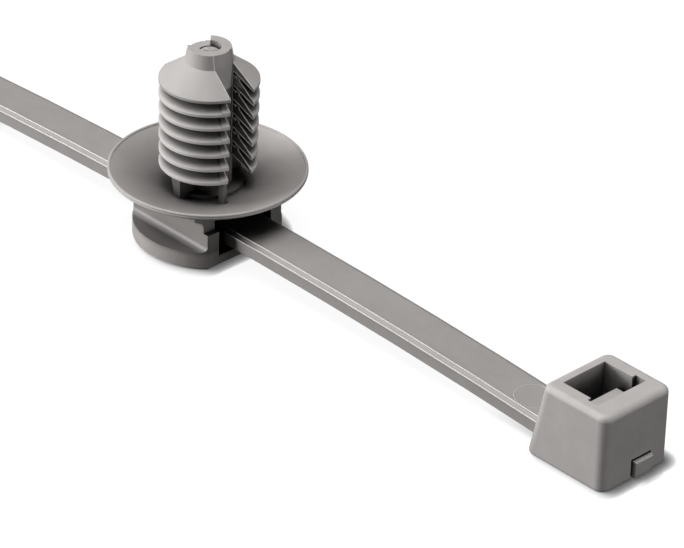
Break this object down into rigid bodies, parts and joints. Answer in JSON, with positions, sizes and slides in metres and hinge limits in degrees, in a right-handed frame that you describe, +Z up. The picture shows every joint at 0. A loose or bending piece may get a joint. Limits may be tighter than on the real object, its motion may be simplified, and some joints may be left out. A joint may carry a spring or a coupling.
{
  "type": "fir tree cable tie",
  "caption": "Cable tie with a ratchet head and a toothed tail, threaded through a separate fir tree mount: a saddle foot, a dished spring disc and a finned stem for a panel hole.",
  "frame": {"origin": "where the stem's axis meets the plane of the disc's rim, which is the panel face", "axes": "+Z up the stem and out through the panel, +X along the strap towards the head, +Y across the strap"},
  "size_m": [0.1503, 0.0178, 0.0188],
  "materials": {
    "grey_polyamide": "fine satin moulded surface"
  },
  "bodies": {
    "tie": {"cable_tie": "grey_polyamide"},
    "mount": {"fir_tree_mount": "grey_polyamide"}
  },
  "joints": [
    {"name": "mount_slide", "type": "slide", "parent": "tie", "child": "mount", "axis": [1, 0, 0], "range_m": [-0.02, 0.03]}
  ]
}
